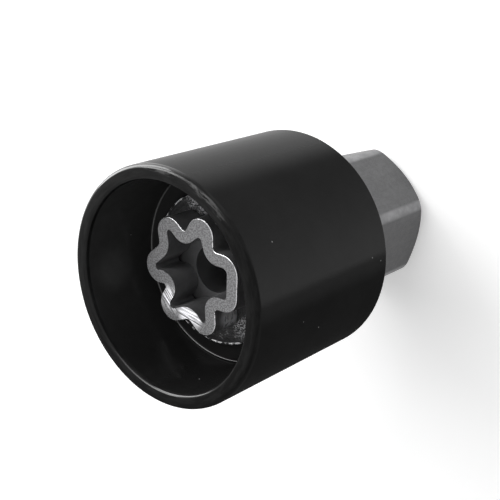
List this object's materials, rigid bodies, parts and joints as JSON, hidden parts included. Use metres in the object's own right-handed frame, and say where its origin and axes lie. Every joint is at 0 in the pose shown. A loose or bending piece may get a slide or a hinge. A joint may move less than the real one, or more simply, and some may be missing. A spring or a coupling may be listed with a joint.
{
  "type": "locking wheel nut key",
  "caption": "Steel key for locking wheel nuts: a hexagon turned by a wheel wrench drives a closed wavy ridge that fits the nut's groove, inside a guarding plastic sleeve.",
  "frame": {"origin": "middle of the hexagon's end face, which the key stands on", "axes": "+Z along the key from the hexagon to the open mouth of the sleeve; one corner of the hexagon points 5.5 degrees from +X towards +Y"},
  "size_m": [0.032, 0.032, 0.047],
  "materials": {
    "steel": "satin",
    "black_plastic": "gloss"
  },
  "bodies": {
    "root": {"key_body": "steel", "sleeve": "black_plastic"}
  },
  "joints": []
}
